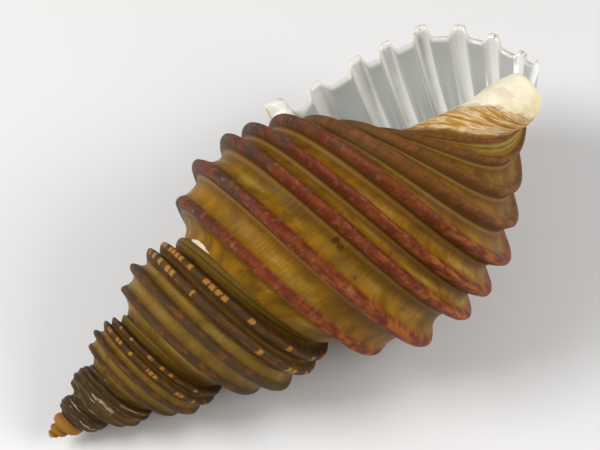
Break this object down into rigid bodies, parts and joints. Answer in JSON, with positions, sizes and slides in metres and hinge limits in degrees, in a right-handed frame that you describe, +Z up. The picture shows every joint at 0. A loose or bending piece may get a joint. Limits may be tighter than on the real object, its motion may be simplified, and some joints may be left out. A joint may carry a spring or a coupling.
{
  "type": "sea snail shell",
  "caption": "Tall spired right-handed sea snail shell with strong spiral cords, lying on its side with the toothed aperture open.",
  "frame": {"origin": "centre of the bounding box's bottom, on the ground plane that the worn resting spots touch", "axes": "+X along the shell towards the siphonal canal, the pointed end of the spire at -X; +Z up; the aperture opens to the +Y side and upward"},
  "size_m": [0.0966, 0.0528, 0.0442],
  "materials": {
    "shell_brown": "glossy brown outer skin with red-brown cords; white porcelain-like inside"
  },
  "bodies": {
    "root": {"shell": "shell_brown"}
  },
  "joints": []
}
